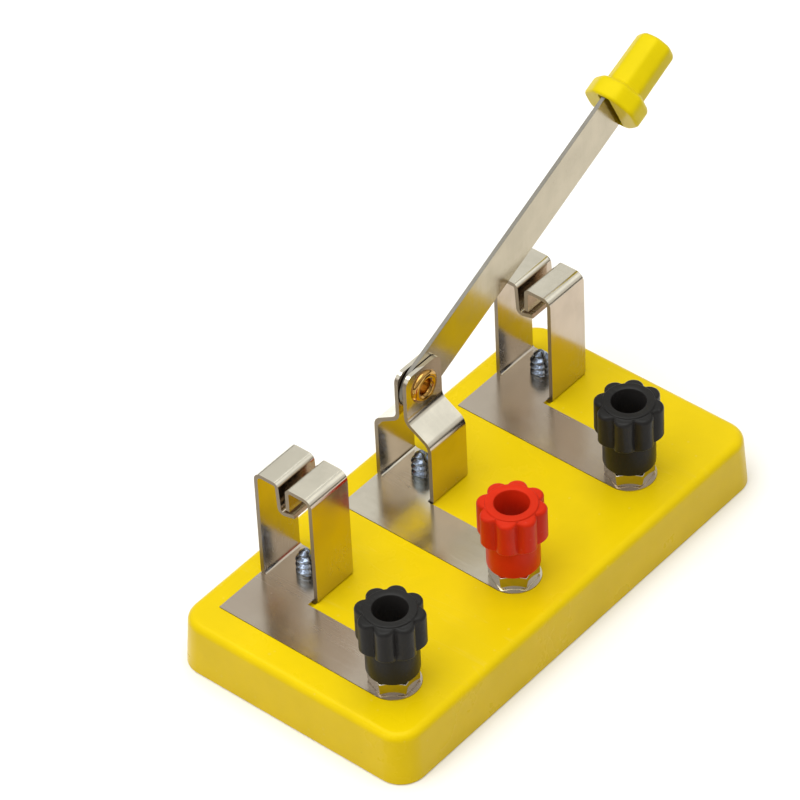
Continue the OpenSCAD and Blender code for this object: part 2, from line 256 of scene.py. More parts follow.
def capped(rings):
    """Closed mesh through a stack of rings, with a flat face at either end."""
    rows, columns = rings.shape[:2]
    index = np.arange(rows * columns).reshape(rows, columns)
    near, far = index[:-1], index[1:]
    quads = np.stack([near, np.roll(near, -1, 1), np.roll(far, -1, 1), far], -1)
    faces = quads.reshape(-1, 4).tolist() + [index[0, ::-1].tolist(), index[-1].tolist()]
    mesh = bpy.data.meshes.new("capped")
    mesh.from_pydata(rings.reshape(-1, 3).tolist(), [], faces)
    return close_up(mesh)


def prism(outline, low, high, axes=(0, 1, 2)):
    """Solid with a flat outline carried along a straight line from low to high.
    axes says which of X, Y and Z the outline's two directions and the line take."""
    rings = np.empty((2, len(outline), 3))
    rings[:, :, axes[0]] = outline[:, 0]
    rings[:, :, axes[1]] = outline[:, 1]
    rings[0, :, axes[2]] = low
    rings[1, :, axes[2]] = high
    return capped(rings)


def rod(centre, radius, low, high, count=64, axes=(0, 1, 2)):
    """Round solid along a straight line."""
    return prism(arc(centre, radius, 0, 360, count + 1)[:-1], low, high, axes)


def box(low, high):
    """Straight-sided solid between two corners."""
    (x0, y0, z0), (x1, y1, z1) = low, high
    return prism(np.array([(x0, y0), (x1, y0), (x1, y1), (x0, y1)]), z0, z1)


def rounded_outline(half_x, half_y, corner, count=12):
    """Rectangle with round corners, given by its half sizes."""
    x, y = half_x - corner, half_y - corner
    return chain(*[arc((sx * x, sy * y), corner, start, start + 90, count)
                   for sx, sy, start in ((1, 1, 0), (-1, 1, 90), (-1, -1, 180), (1, -1, 270))])


def combine(mesh, others, operation):
    """mesh with the other solids joined on (UNION) or cut away (DIFFERENCE)."""
    scene = bpy.context.scene
    body = bpy.data.objects.new("work", mesh)
    tools = [bpy.data.objects.new("tool", other) for other in others]
    for item in [body] + tools:
        scene.collection.objects.link(item)
    for tool in tools:
        step = body.modifiers.new("combine", "BOOLEAN")
        step.operation = operation
        step.object = tool
        step.solver = "EXACT"
    depsgraph = bpy.context.evaluated_depsgraph_get()
    result = bpy.data.meshes.new_from_object(body.evaluated_get(depsgraph))
    for item in [body] + tools:
        data = item.data
        bpy.data.objects.remove(item)
        bpy.data.meshes.remove(data)
    if not len(result.polygons):
        raise RuntimeError("a solid came out empty")
    return result


def moved(mesh, matrix):
    """The mesh after a turn and a shift."""
    mesh.transform(matrix)
    return mesh


def put(name, mesh, paint, body, node, crease=30, bevel=0.0, weighted=False):
    """Makes the finished piece: it rides on its body and stands for its node."""
    if name in bpy.data.objects:
        raise RuntimeError(name + " is there already")
    mesh.name = name
    piece = bpy.data.objects.new(name, mesh)
    bpy.context.scene.collection.objects.link(piece)
    mesh.materials.clear()
    mesh.materials.append(paint)
    mesh.polygons.foreach_set("material_index", np.zeros(len(mesh.polygons), np.int32))
    mesh.polygons.foreach_set("use_smooth", np.ones(len(mesh.polygons), bool))
    mesh.set_sharp_from_angle(angle=math.radians(crease))
    if bevel:
        soften = piece.modifiers.new("soft edges", "BEVEL")
        soften.width = bevel
        soften.segments = 2
        soften.limit_method = "ANGLE"
        soften.angle_limit = math.radians(40)
        soften.harden_normals = True
    if weighted:
        even = piece.modifiers.new("even shading", "WEIGHTED_NORMAL")
        even.keep_sharp = True
    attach(piece, body)
    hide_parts(node)
    return piece


# ---------------------------------------------------------------- finishes

def add(tree, kind, inputs=None, **settings):
    """Adds a node. inputs gives each of its sockets a value or another socket."""
    node = tree.nodes.new(kind)
    for key, value in settings.items():
        setattr(node, key, value)
    for key, value in (inputs or {}).items():
        if isinstance(value, bpy.types.NodeSocket):
            tree.links.new(value, node.inputs[key])
        else:
            node.inputs[key].default_value = value
    return node


def maths(tree, operation, first, second=0.0, clamp=False):
    """Result of one sum on two values or sockets."""
    node = add(tree, "ShaderNodeMath", {0: first, 1: second}, operation=operation)
    node.use_clamp = clamp
    return node.outputs[0]


def ramp(tree, value, low, high, out_low=0.0, out_high=1.0):
    """The value carried smoothly from one range to another."""
    node = add(tree, "ShaderNodeMapRange", {
        "Value": value, "From Min": low, "From Max": high,
        "To Min": out_low, "To Max": out_high}, interpolation_type="SMOOTHSTEP")
    return node.outputs["Result"]


def mixed(tree, mask, first, second):
    """One colour laid over another by a mask."""
    node = add(tree, "ShaderNodeMix", data_type="RGBA")
    for key, value in ((0, mask), (6, first), (7, second)):
        if isinstance(value, bpy.types.NodeSocket):
            tree.links.new(value, node.inputs[key])
        else:
            node.inputs[key].default_value = value
    return node.outputs[2]


def shaded(tree, mask, colour, shade):
    """A colour multiplied by a shade where the mask is 1."""
    node = add(tree, "ShaderNodeMix", data_type="RGBA", blend_type="MULTIPLY")
    tree.links.new(mask, node.inputs[0])
    tree.links.new(colour, node.inputs[6])
    node.inputs[7].default_value = tuple(shade) + (1,)
    return node.outputs[2]


def upright_part(tree, normal, low, high):
    """1 on faces that stand upright, and 0 on faces that lie flat."""
    facing = add(tree, "ShaderNodeSeparateXYZ", {"Vector": normal}).outputs["Z"]
    return ramp(tree, maths(tree, "ABSOLUTE", facing), low, high, 1.0, 0.0)


def noise(tree, vector, scale, detail=3.0, rough=0.5):
    """Cloudy value from 0 to 1."""
    return add(tree, "ShaderNodeTexNoise", {
        "Vector": vector, "Scale": scale, "Detail": detail, "Roughness": rough},
    ).outputs["Fac"]


def effect(name, inputs, outputs):
    """An empty node group with its sockets, or None if it has been built."""
    if name in bpy.data.node_groups:
        return None
    tree = bpy.data.node_groups.new(name, "ShaderNodeTree")
    for label, kind, value in inputs:
        socket = tree.interface.new_socket(label, in_out="INPUT", socket_type=kind)
        if value is not None:
            socket.default_value = value
    for label, kind in outputs:
        tree.interface.new_socket(label, in_out="OUTPUT", socket_type=kind)
    return tree


def place(tree, name, inputs):
    """Puts one of the shared effects into a material."""
    return add(tree, "ShaderNodeGroup", inputs, node_tree=bpy.data.node_groups[name])


VECTOR, VALUE, COLOUR = "NodeSocketVector", "NodeSocketFloat", "NodeSocketColor"


def group_ends(tree):
    """The input and the output of a group of nodes."""
    return tree.nodes.new("NodeGroupInput"), tree.nodes.new("NodeGroupOutput")


def build_effects():
    """The effects that several finishes share."""
    tree = effect("rolled_grain", [("Vector", VECTOR, None), ("Fineness", VALUE, 900.0)],
                  [("Grain", VALUE)])
    if tree:
        start, end = group_ends(tree)
        squeezed = add(tree, "ShaderNodeMapping", {
            "Vector": start.outputs["Vector"], "Scale": (1.0, 0.035, 0.035)})
        fine = noise(tree, squeezed.outputs[0], start.outputs["Fineness"], 4.0, 0.65)
        wide = noise(tree, squeezed.outputs[0],
                     maths(tree, "MULTIPLY", start.outputs["Fineness"], 0.23), 2.0)
        both = maths(tree, "ADD", maths(tree, "MULTIPLY", fine, 0.65),
                     maths(tree, "MULTIPLY", wide, 0.35))
        tree.links.new(both, end.inputs["Grain"])

    tree = effect("specks", [("Vector", VECTOR, None), ("Scale", VALUE, 500.0),
                             ("Size", VALUE, 0.16), ("Amount", VALUE, 0.3)],
                  [("Mask", VALUE)])
    if tree:
        start, end = group_ends(tree)
        cells = add(tree, "ShaderNodeTexVoronoi", {
            "Vector": start.outputs["Vector"], "Scale": start.outputs["Scale"]})
        chance = add(tree, "ShaderNodeSeparateColor", {"Color": cells.outputs["Color"]})
        few = maths(tree, "LESS_THAN", chance.outputs[0], start.outputs["Amount"])
        wide = maths(tree, "MULTIPLY", chance.outputs[1], start.outputs["Size"])
        spot = ramp(tree, maths(tree, "SUBTRACT", wide, cells.outputs["Distance"]), 0.0, 0.05)
        tree.links.new(maths(tree, "MULTIPLY", spot, few), end.inputs["Mask"])

    tree = effect("scratches", [("Vector", VECTOR, None), ("Scale", VALUE, 60.0),
                                ("Amount", VALUE, 0.5)], [("Mask", VALUE)])
    if tree:
        start, end = group_ends(tree)
        lines = []
        for turn, shift in ((0.5, 0.0), (-0.9, 0.013), (1.9, 0.029)):
            laid = add(tree, "ShaderNodeMapping", {
                "Vector": start.outputs["Vector"], "Rotation": (0.3, 0.2, turn),
                "Location": (shift, shift, shift), "Scale": (1.0, 0.06, 0.5)})
            field = noise(tree, laid.outputs[0],
                          maths(tree, "MULTIPLY", start.outputs["Scale"], 8.0), 1.0)
            patch = noise(tree, laid.outputs[0], start.outputs["Scale"], 1.0)
            thin = ramp(tree, maths(tree, "ABSOLUTE", maths(tree, "SUBTRACT", field, 0.5)),
                        0.0, 0.012, 1.0, 0.0)
            here = ramp(tree, patch, 0.56, 0.64)
            lines.append(maths(tree, "MULTIPLY", thin, here))
        most = maths(tree, "MAXIMUM", maths(tree, "MAXIMUM", lines[0], lines[1]), lines[2])
        tree.links.new(maths(tree, "MULTIPLY", most, start.outputs["Amount"]),
                       end.inputs["Mask"])

    tree = effect("mottle", [("Vector", VECTOR, None), ("Scale", VALUE, 60.0),
                             ("Main", COLOUR, (1, 1, 1, 1)), ("Shade", COLOUR, (0, 0, 0, 1))],
                  [("Colour", COLOUR), ("Value", VALUE)])
    if tree:
        start, end = group_ends(tree)
        cloud = noise(tree, start.outputs["Vector"], start.outputs["Scale"], 5.0, 0.55)
        mask = ramp(tree, cloud, 0.36, 0.68)
        tree.links.new(mixed(tree, mask, start.outputs["Main"], start.outputs["Shade"]),
                       end.inputs["Colour"])
        tree.links.new(mask, end.inputs["Value"])


def tint(colour, factor):
    """A darker or lighter copy of a colour."""
    return tuple(min(1.0, part * factor) for part in colour[:3]) + (1.0,)


def new_finish(name):
    """An empty material, with its shader, object coordinates and object normal."""
    paint = bpy.data.materials.new(name)
    paint.use_nodes = True
    tree = paint.node_tree
    shader = tree.nodes["Principled BSDF"]
    place_on = tree.nodes.new("ShaderNodeTexCoord")
    return paint, tree, shader, place_on.outputs["Object"], place_on.outputs["Normal"]


def plastic(name, colour, rough=0.3, shade=0.9, grain=0.02, dust=0.10, specks=0.0,
            deep=0.9, glint=(1, 1, 1), gloss_level=0.3):
    """Glossy moulded plastic: faint clouds of colour, orange peel, hairline
    scratches and a little dust. Upright faces get painted shade, by the side
    shade factor, and glint is the colour that its reflections take."""
    build_effects()
    paint, tree, shader, where, normal = new_finish(name)
    clouds = place(tree, "mottle", {
        "Vector": where, "Scale": 70.0, "Main": tuple(colour), "Shade": tint(colour, shade)})
    lines = place(tree, "scratches", {"Vector": where, "Scale": 55.0, "Amount": 1.0})
    fine = place(tree, "specks", {
        "Vector": where, "Scale": 900.0, "Size": 0.30, "Amount": 0.12})
    pale = tint(tuple(0.55 + 0.45 * part for part in colour[:3]), 1.0)
    wear_and_painted_shade = mixed(tree, maths(tree, "MULTIPLY", fine.outputs["Mask"], dust),
                 clouds.outputs["Colour"], pale)
    wear_and_painted_shade = mixed(tree, maths(tree, "MULTIPLY", lines.outputs["Mask"], dust * 0.5), wear_and_painted_shade, pale)
    if specks:
        dark = place(tree, "specks", {
            "Vector": where, "Scale": 160.0, "Size": 0.10, "Amount": specks})
        wear_and_painted_shade = mixed(tree, maths(tree, "MULTIPLY", dark.outputs["Mask"], 0.5), wear_and_painted_shade,
                     tint(colour, 0.25))
    # Painted shade: upright faces are multiplied by the side shade factor, less in red, so the
    # sides come out darker and more golden than the top.
    upright = upright_part(tree, normal, 0.0, 0.95)
    wear_and_painted_shade = shaded(tree, upright, wear_and_painted_shade, (0.5 + 0.5 * deep, deep, deep))
    tree.links.new(wear_and_painted_shade, shader.inputs["Base Color"])
    shader.inputs["Specular IOR Level"].default_value = gloss_level
    shader.inputs["Specular Tint"].default_value = tuple(glint) + (1,)
    gloss = maths(tree, "ADD", rough, maths(tree, "MULTIPLY", clouds.outputs["Value"], 0.06))
    gloss = maths(tree, "ADD", gloss, maths(tree, "MULTIPLY", lines.outputs["Mask"], 0.2))
    tree.links.new(gloss, shader.inputs["Roughness"])
    peel = noise(tree, where, 420.0, 2.0)
    fuzz = noise(tree, where, 2600.0, 2.0)
    relief = maths(tree, "ADD", maths(tree, "MULTIPLY", peel, 0.7),
                   maths(tree, "MULTIPLY", fuzz, 0.3))
    relief = maths(tree, "SUBTRACT", relief, maths(tree, "MULTIPLY", lines.outputs["Mask"], 0.6))
    bump = add(tree, "ShaderNodeBump", {
        "Height": relief, "Strength": grain * 10, "Distance": 0.00004})
    tree.links.new(bump.outputs["Normal"], shader.inputs["Normal"])
    return paint


def metal(name, colour, rough=0.12, shade=0.85, grain=0.3, specks=0.10, fineness=2400.0,
          upright=None, dull=None, cut=None, cut_colour=(0.22, 0.18, 0.13, 1)):
    """Plated metal: fine rolled lines, soft clouds of tarnish, dark pin marks and
    a few scratches. The upright shade is painted shade on upright faces; the low
    shade gives the heights between which a painted shade low down fades and the
    plating brightens; cut is the axis that its sheared edges face (+) or turn away from (-)."""
    build_effects()
    paint, tree, shader, where, normal = new_finish(name)
    clouds = place(tree, "mottle", {
        "Vector": where, "Scale": 150.0, "Main": tuple(colour), "Shade": tint(colour, shade)})
    lines = place(tree, "rolled_grain", {"Vector": where, "Fineness": fineness})
    marks = place(tree, "specks", {
        "Vector": where, "Scale": 420.0, "Size": 0.18, "Amount": specks})
    scrapes = place(tree, "scratches", {"Vector": where, "Scale": 110.0, "Amount": 0.7})
    streak = ramp(tree, lines.outputs["Grain"], 0.40, 0.60)
    base = mixed(tree, maths(tree, "MULTIPLY", streak, 0.2 * grain),
                 clouds.outputs["Colour"], tint(colour, 0.7))
    base = mixed(tree, maths(tree, "MULTIPLY", marks.outputs["Mask"], 0.7), base,
                 tint(colour, 0.16))
    # Painted shade: faces that stand upright are multiplied by the given shade colour.
    if upright:
        base = shaded(tree, upright_part(tree, normal, 0.25, 0.85), base, upright)
    gloss = maths(tree, "ADD", rough, maths(tree, "MULTIPLY", streak, 0.08 * grain))
    gloss = maths(tree, "ADD", gloss, maths(tree, "MULTIPLY", clouds.outputs["Value"], 0.06))
    gloss = maths(tree, "ADD", gloss, maths(tree, "MULTIPLY", scrapes.outputs["Mask"], 0.12))
    # Painted shade: low down the plating is darkened towards brown-grey (0.57, 0.50, 0.42), fading
    # out between the two given heights, broken into clouds and weaker near the middle along X.
    if dull:
        spot = add(tree, "ShaderNodeSeparateXYZ", {"Vector": where})
        low = ramp(tree, spot.outputs["Z"], dull[0], dull[1], 1.0, 0.0)
        painted_shade_clouds = noise(tree, where, 75.0, 2.0)
        low = maths(tree, "MULTIPLY", low, ramp(tree, painted_shade_clouds, 0.3, 0.7, 0.75, 1.0))
        aside = maths(tree, "ABSOLUTE", spot.outputs["X"])
        low = maths(tree, "MULTIPLY", low, ramp(tree, aside, 0.011, 0.024, 0.2, 1.0))
        base = mixed(tree, low, base, (0.57, 0.50, 0.42, 1))
        gloss = maths(tree, "ADD", gloss, maths(tree, "MULTIPLY", low, 0.06))
    if cut:
        part = add(tree, "ShaderNodeSeparateXYZ", {"Vector": normal}).outputs[cut[1]]
        part = maths(tree, "ABSOLUTE", part)
        edge = ramp(tree, part, 0.75, 0.95, *((0.0, 1.0) if cut[0] == "+" else (1.0, 0.0)))
        base = mixed(tree, edge, base, cut_colour)
        gloss = maths(tree, "ADD", gloss, maths(tree, "MULTIPLY", edge, 0.18))
    tree.links.new(base, shader.inputs["Base Color"])
    tree.links.new(gloss, shader.inputs["Roughness"])
    shader.inputs["Metallic"].default_value = 1.0
    height = maths(tree, "SUBTRACT", maths(tree, "MULTIPLY", lines.outputs["Grain"], grain),
                   maths(tree, "MULTIPLY", marks.outputs["Mask"], 0.5))
    bump = add(tree, "ShaderNodeBump", {
        "Height": height, "Strength": 0.25, "Distance": 0.000008})
    tree.links.new(bump.outputs["Normal"], shader.inputs["Normal"])
    return paint


def finish_named(name, maker, *values, **more):
    """The finish of that name, made the first time that it is asked for."""
    return bpy.data.materials.get(name) or maker(name, *values, **more)


def sheet_finish(settings):
    """Nickel plate on rolled steel sheet, with painted shade on its upright faces and low down."""
    return finish_named("nickel_sheet", metal, settings.sheet.colour,
                        rough=0.13, shade=0.88, grain=0.35, specks=0.09, upright=(0.62, 0.53, 0.48),
                        dull=(0.011, 0.030), cut="+X")


# ---------------------------------------------------------------- base

def plate_outline(post, settings, far, grow=0.0, tuck=0.0, notch=0.0):
    """The flat plate seen from above: a round-ended tab under the post, and an arm
    to the foot of the walls. far is how far the arm reaches along X from the post,
    grow widens the outline all round, tuck draws it in under the walls' round feet,
    and notch cuts back the arm's front edge."""
    half = settings.tab / 2 + grow
    back = 29 * MM + settings.span / 2 + grow - tuck
    front = 29 * MM - settings.span / 2 - grow + tuck + notch
    outline = chain(arc((0, 0), half, 180, 360, 33), (half, front), (far, front),
                    (far, back), (-half, back))
    return outline + post[:2]


class SWITCH_OT_base(bpy.types.Operator):
    """Makes the moulded base, hollow below, with a recess for each plate."""

    bl_idname = "switch.base"
    bl_label = "Base"

    def execute(self, context):
        settings = context.scene.knife_switch
        sizes = settings.base
        half_x, half_y = sizes.length / 2, sizes.depth / 2
        lean = sizes.height - sizes.fillet
        levels = np.array([0.0, 0.25 * MM, 0.5 * lean, lean])
        rings = [(sizes.draft * z / lean + max(0.0, 0.2 * MM - z), z) for z in levels]
        steps = np.radians(np.linspace(0, 90, 9))[1:]
        rings += [(sizes.draft + sizes.fillet * (1 - c), lean + sizes.fillet * s)
                  for c, s in zip(np.cos(steps), np.sin(steps))]
        stack = np.stack([np.column_stack([
            rounded_outline(half_x - inset, half_y - inset, sizes.corner - max(
                0.0, inset - sizes.draft * min(z / lean, 1.0)), 16),
            np.full(64, z)]) for inset, z in rings])
        block = capped(stack)
        ceiling = sizes.height - sizes.top
        inner = rounded_outline(half_x - sizes.wall, half_y - sizes.wall,
                                sizes.corner - sizes.wall)
        hollow = prism(inner, -MM, ceiling)
        bosses = [box((-half_x, -MM, -2 * MM), (half_x, MM, sizes.height))]
        cuts = []
        for side in SIDES:
            post = post_at(side)
            screw = middle_of(side + "_screw")
            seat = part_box(side + "_washer")[1].z
            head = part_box(side + "_screw")[0].z + 2 * MM
            bosses.append(rod(post[:2], 6 * MM, seat, sizes.height))
            bosses.append(rod((screw.x, screw.y), 4 * MM, head, sizes.height))
            wall = "pivot_bracket" if side == "middle" else side + "_clip"
            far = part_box(wall)[1].x - post[0] + 0.03 * MM
            outline = plate_outline(post, settings.sheet, far, 0.03 * MM, 0.22 * MM)
            cuts.append(prism(outline,
                              post[2] - settings.sheet.thickness, sizes.height + MM))
            cuts.append(rod(post[:2], 2.8 * MM, -MM, sizes.height))
            cuts.append(rod((screw.x, screw.y), 2.1 * MM, -MM, sizes.height))
        hollow = combine(hollow, bosses, "DIFFERENCE")
        mesh = combine(block, [hollow] + cuts, "DIFFERENCE")
        # Painted shade: the side shade 0.93 darkens the base's upright sides.
        paint = finish_named("yellow_base_plastic", plastic, sizes.colour, rough=0.27,
                             shade=0.93, grain=0.03, dust=0.05, specks=0.10, deep=0.93,
                             glint=(1, 0.84, 0.2), gloss_level=0.3)
        put("base_moulding", mesh, paint, "switch_base", "base",
            crease=35, weighted=True)
        return {"FINISHED"}


# ---------------------------------------------------------------- sheet metal

def bent_side(steps, off, start, heading, fine=14):
    """One side of a bent strip. The strip's line runs straight for each step's
    length and then turns about a centre at the step's radius, and the side keeps
    the distance off to the left of it."""
    point, turn_now, runs = np.array(start, float), math.radians(heading), []
    for length, turn, radius in steps:
        ahead = np.array([math.cos(turn_now), math.sin(turn_now)])
        left = np.array([-ahead[1], ahead[0]])
        if not runs:
            runs.append([point + off * left])
        point = point + length * ahead
        swing = -radius if turn < 0 else radius
        centre = point + swing * left
        sweep = turn_now + math.radians(turn) * np.linspace(0, 1, fine if turn else 1)
        runs.append(centre + (off - swing) * np.stack([-np.sin(sweep), np.cos(sweep)], 1))
        turn_now = sweep[-1]
        point = centre - swing * np.array([-math.sin(turn_now), math.cos(turn_now)])
    return np.concatenate(runs)


def bent_strip(steps, thickness, start, heading):
    """Outline of a bent strip seen from its edge."""
    near = bent_side(steps, 0.0, start, heading)
    far = bent_side(steps, -thickness, start, heading)
    return np.concatenate([near, far[::-1]])


def sheet_piece(side, node, steps, start, heading, waste=()):
    """Joins the bent strip to its flat plate and pierces the plate."""
    settings = bpy.context.scene.knife_switch
    sheet = settings.sheet
    post = post_at(side)
    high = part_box(node)[1]
    plane = middle_of("blade").y
    near_x, far_x = high.x - sheet.wall, high.x
    outline = bent_strip(steps, sheet.thickness, start, heading) + (plane, post[2])
    strip = prism(outline, near_x, far_x, (1, 2, 0))
    flat = prism(plate_outline(post, sheet, near_x - post[0], notch=1.2 * MM),
                 post[2] - sheet.thickness, post[2])
    mesh = combine(strip, [flat], "UNION")
    screw = middle_of(side + "_screw")
    below, above = post[2] - 2 * sheet.thickness, post[2] + sheet.thickness
    stud_hole, pilot_hole = 2.55 * MM, 1.65 * MM
    cuts = [rod(post[:2], stud_hole, below, above),
            rod((screw.x, screw.y), pilot_hole, below, above)]
    mesh = combine(mesh, cuts + list(waste), "DIFFERENCE")
    return put(node + "_sheet", mesh, sheet_finish(settings), "switch_base", node,
               bevel=sheet.edge)


class SWITCH_OT_clips(bpy.types.Operator):
    """Makes the two sprung jaw clips."""

    bl_idname = "switch.clips"
    bl_label = "Clips"

    def execute(self, context):
        sheet = context.scene.knife_switch.sheet
        t = sheet.thickness
        inside = sheet.span / 2 - t
        lip_at = 0.55 * MM + t
        top, shoulder, foot, bend, curl = 24 * MM - t, MM, 0.6 * MM, 0.4 * MM, 1.3 * MM
        lean = (6.9 * MM - curl) * math.sin(math.radians(3.5))
        steps = [
            (5.1 * MM - t - bend, 90, bend),
            (inside - shoulder - lip_at - bend, 90, shoulder),
            (top - shoulder - foot, 90, foot),
            (2 * (inside - foot), 90, foot),
            (top - shoulder - foot, 90, shoulder),
            (inside - shoulder - lip_at - bend - lean, 86.5, bend),
            (6.9 * MM - t - bend - curl, -101.5, curl),
            (2.3 * MM, 0, 0),
        ]
        for side in ("left", "right"):
            sheet_piece(side, side + "_clip", steps, (-lip_at, 18.9 * MM), 90)
        return {"FINISHED"}


class SWITCH_OT_bracket(bpy.types.Operator):
    """Makes the pivot bracket, whose walls lean in to two close ears."""

    bl_idname = "switch.bracket"
    bl_label = "Pivot bracket"

    def execute(self, context):
        sheet = context.scene.knife_switch.sheet
        t = sheet.thickness
        inside, ear_in = sheet.span / 2 - t, t / 2 + 0.15 * MM
        bend, foot, ear_top, lean = 1.8 * MM, 0.6 * MM, 26.4 * MM, 58
        turn = math.radians(lean)
        tuck, tuck_out = (r * math.tan(turn / 2) for r in (bend, bend + t))
        low_knee = 12.5 * MM + t * math.tan(turn / 2)
        high_knee = low_knee + (inside - ear_in) / math.tan(turn)
        ear = ear_top - high_knee - tuck_out
        slant = (inside - ear_in) / math.sin(turn) - tuck - tuck_out
        wall = low_knee - tuck - foot
        steps = [(ear, -lean, bend + t), (slant, lean, bend), (wall, 90, foot),
                 (2 * (inside - foot), 90, foot), (wall, lean, bend),
                 (slant, -lean, bend + t), (ear, 0, 0)]
        pivot = pivot_at()
        hole = rod((pivot[0], pivot[2]), 2.1 * MM, pivot[1] - 8 * MM, pivot[1] + 8 * MM,
                   64, (0, 2, 1))
        corner, half = 2 * MM, sheet.wall / 2
        peak = post_at("middle")[2] + ear_top
        waste = [hole]
        for way in (-1, 1):
            round_off = arc((half - corner, -corner), corner, 0, 90, 13)
            shape = chain(round_off, (half - corner, MM), (half + MM, MM), (half + MM, -corner))
            shape = shape * (way, 1) + (pivot[0], peak)
            waste.append(prism(shape, pivot[1] - 8 * MM, pivot[1] + 8 * MM, (0, 2, 1)))
        sheet_piece("middle", "pivot_bracket", steps, (-ear_in, ear_top), -90, waste)
        return {"FINISHED"}


# ---------------------------------------------------------------- lever

def lever_place(settings):
    """Turns a piece drawn along +X from the pivot to the blade's angle."""
    return (Matrix.Translation(Vector(pivot_at()))
            @ Matrix.Rotation(-settings.lever.angle, 4, "Y"))


class SWITCH_OT_rivet(bpy.types.Operator):
    """Makes the hollow pivot rivet with its two rolled rims."""

    bl_idname = "switch.rivet"
    bl_label = "Pivot rivet"

    def execute(self, context):
        settings = context.scene.knife_switch
        half = 1.35 * MM
        rim = arc((0, 0), MM, 0, 180, 17) * (0.875, 0.75) + (2.375 * MM, half)
        side = chain((2.1 * MM, 0), (2.1 * MM, half), rim, (1.5 * MM, half))
        profile = chain(side, (side * (1, -1))[::-1])
        mesh = skin(turned(stretch(profile, 0.4 * MM), whole_turn(64)), ring=True)
        mesh = moved(mesh, Matrix.Rotation(math.radians(90), 4, "X"))
        paint = finish_named("tarnished_brass", metal, settings.lever.rivet_colour,
                             rough=0.11, shade=0.3, grain=0.3, specks=0.2)
        put("rolled_rivet", moved(mesh, Matrix.Translation(Vector(pivot_at()))), paint,
            "switch_base", "pivot_rivet")
        return {"FINISHED"}


class SWITCH_OT_blade(bpy.types.Operator):
    """Makes the flat blade, round at the pivot, with a tang inside the handle."""

    bl_idname = "switch.blade"
    bl_label = "Blade"

    def execute(self, context):
        settings = context.scene.knife_switch
        lever, t = settings.lever, settings.sheet.thickness
        half, tang = lever.width / 2, 2.4 * MM
        full = lever.handle_at + 2 * MM
        outline = chain(arc((0, 0), half, 90, 270, 49), (full, -half), (full, -tang),
                        (full + 8 * MM, -tang), (full + 8 * MM, tang), (full, tang),
                        (full, half))
        mesh = prism(outline, -t / 2, t / 2, (0, 2, 1))
        mesh = combine(mesh, [rod((0, 0), 2.15 * MM, -2 * t, 2 * t, 64, (0, 2, 1))],
                       "DIFFERENCE")
        paint = finish_named("nickel_blade", metal, (0.51, 0.45, 0.34, 1),
                             rough=0.14, shade=0.9, grain=0.4, specks=0.03, cut="-Y",
                             cut_colour=(0.16, 0.15, 0.13, 1))
        put("blade_strip", moved(mesh, lever_place(settings)), paint, "lever", "blade",
            bevel=settings.sheet.edge)
        return {"FINISHED"}


def soft_octagon(directions, power=18):
    """Distance from the middle to the edge of an octagon of half size 1: one over
    the power mean of how far each direction leans to the eight faces."""
    faces = whole_turn(8)
    lean = np.maximum(np.cos(directions[:, None] - faces), 0)
    return (lean ** power).sum(1) ** (-1 / power)


class SWITCH_OT_handle(bpy.types.Operator):
    """Makes the eight-sided handle with its collar and the socket for the blade."""

    bl_idname = "switch.handle"
    bl_label = "Handle"

    def execute(self, context):
        settings = context.scene.knife_switch
        lever = settings.lever
        collar, grip, end = lever.collar / 2, lever.grip / 2, lever.grip_length
        line = chain((0, 0), (collar - 0.6 * MM, 0),
                     arc((collar - 0.6 * MM, 0.6 * MM), 0.6 * MM, -90, 0, 7),
                     arc((collar - 1.2 * MM, 2.95 * MM), 1.2 * MM, 0, 82, 11),
                     arc((grip + 0.75 * MM, 4.9 * MM), 0.75 * MM, 262, 180, 7),
                     (grip - 0.05 * MM, end / 2),
                     arc((grip - 1.4 * MM, end - 1.3 * MM), 1.3 * MM, 0, 90, 15),
                     (0, end))
        line = stretch(line, 0.9 * MM)
        directions = whole_turn(160)
        shape = turned(line, directions)
        shape[..., :2] *= soft_octagon(directions)[None, :, None]
        mesh = skin(shape)
        mesh = moved(mesh, Matrix.Rotation(math.radians(90), 4, "Y"))
        mouth = rounded_outline(1.3 * MM, 4.9 * MM, 0.35 * MM, 6)
        slot = rounded_outline(0.4 * MM, 2.4 * MM, 0.05 * MM, 3)
        mesh = combine(mesh, [prism(mouth, -MM, 2 * MM, (1, 2, 0)),
                              prism(slot, MM, 10 * MM, (1, 2, 0))], "DIFFERENCE")
        spot = lever_place(settings) @ Matrix.Translation((lever.handle_at, 0, 0))
        # Painted shade: the side shade 0.97 darkens the handle's upright faces.
        paint = finish_named("yellow_handle_plastic", plastic, lever.colour, rough=0.33,
                             shade=0.92, grain=0.04, dust=0.03, specks=0.02, deep=0.97,
                             glint=(1, 0.86, 0.15), gloss_level=0.28)
        put("octagon_handle", moved(mesh, spot), paint, "lever", "handle",
            crease=40)
        return {"FINISHED"}


# ---------------------------------------------------------------- posts

def threaded(low, high, crest, root, pitch, columns=36, per_turn=8, tip=0.0):
    """Screw surface: at height z and direction f the radius runs between root and
    crest as a triangle wave of z / pitch - f / one turn, and fades to the root at
    both ends. A tip makes the last stretch taper to a blunt point."""
    rows = max(2, int(round((high - low) / pitch * per_turn)))
    heights = np.linspace(low, high, rows)[:, None]
    directions = whole_turn(columns)[None, :]
    phase = (heights / pitch - directions / (2 * np.pi)) % 1.0
    wave = np.clip(1.35 * (1 - np.abs(2 * phase - 1)) - 0.1, 0, 1)
    fade = np.clip((heights - low) / pitch, 0, 1) * np.clip((high - heights) / pitch, 0, 1)
    radius = root + (crest - root) * wave * np.minimum(fade * 1.6, 1)
    if tip:
        narrow = np.clip((high - heights) / tip, 0, 1)
        radius = radius * (0.3 + 0.7 * narrow ** 0.7)
    return np.stack([radius * np.cos(directions), radius * np.sin(directions),
                     np.broadcast_to(heights, radius.shape)], -1)


def pole(height, columns):
    """A row of points gathered on the axis."""
    return np.broadcast_to(np.array([0.0, 0.0, height]), (1, columns, 3))


